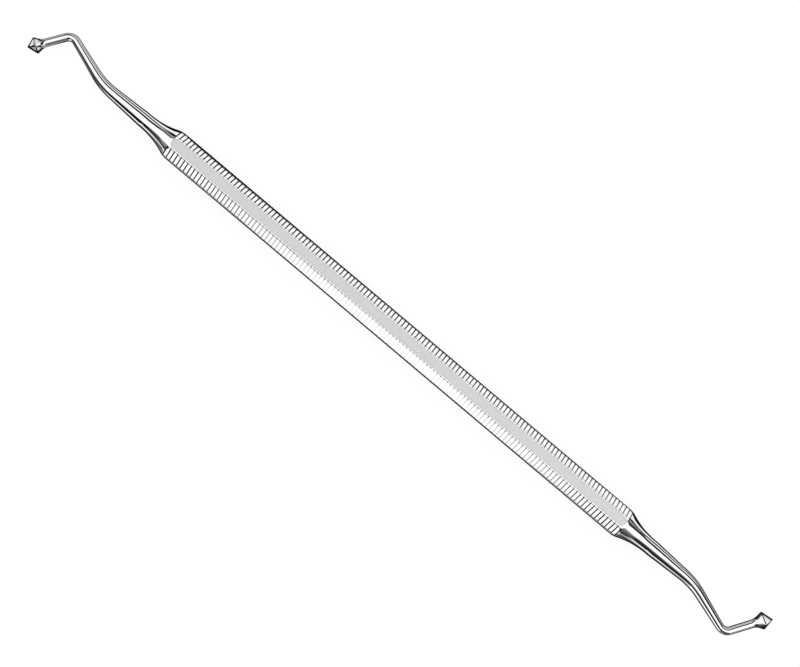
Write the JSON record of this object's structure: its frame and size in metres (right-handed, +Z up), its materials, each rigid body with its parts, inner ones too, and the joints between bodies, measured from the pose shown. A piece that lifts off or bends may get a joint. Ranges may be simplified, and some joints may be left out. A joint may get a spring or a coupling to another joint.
{
  "type": "dental carver",
  "caption": "Double-ended dental wax carver in polished steel: octagonal cross-grooved handle, bent octagonal shanks and four-sided pyramid points.",
  "frame": {"origin": "middle of the handle's bottom facet, the plain flat that the carver lies on", "axes": "+X along the handle towards the larger point, +Z up out of the facet that carries the satin panel, +Y across the handle, in the plane of the bends"},
  "size_m": [0.1752, 0.0083, 0.0058],
  "materials": {
    "steel": "mirror polished stainless steel, with a fine satin panel along the top facet of the handle"
  },
  "bodies": {
    "root": {"carver": "steel"}
  },
  "joints": []
}
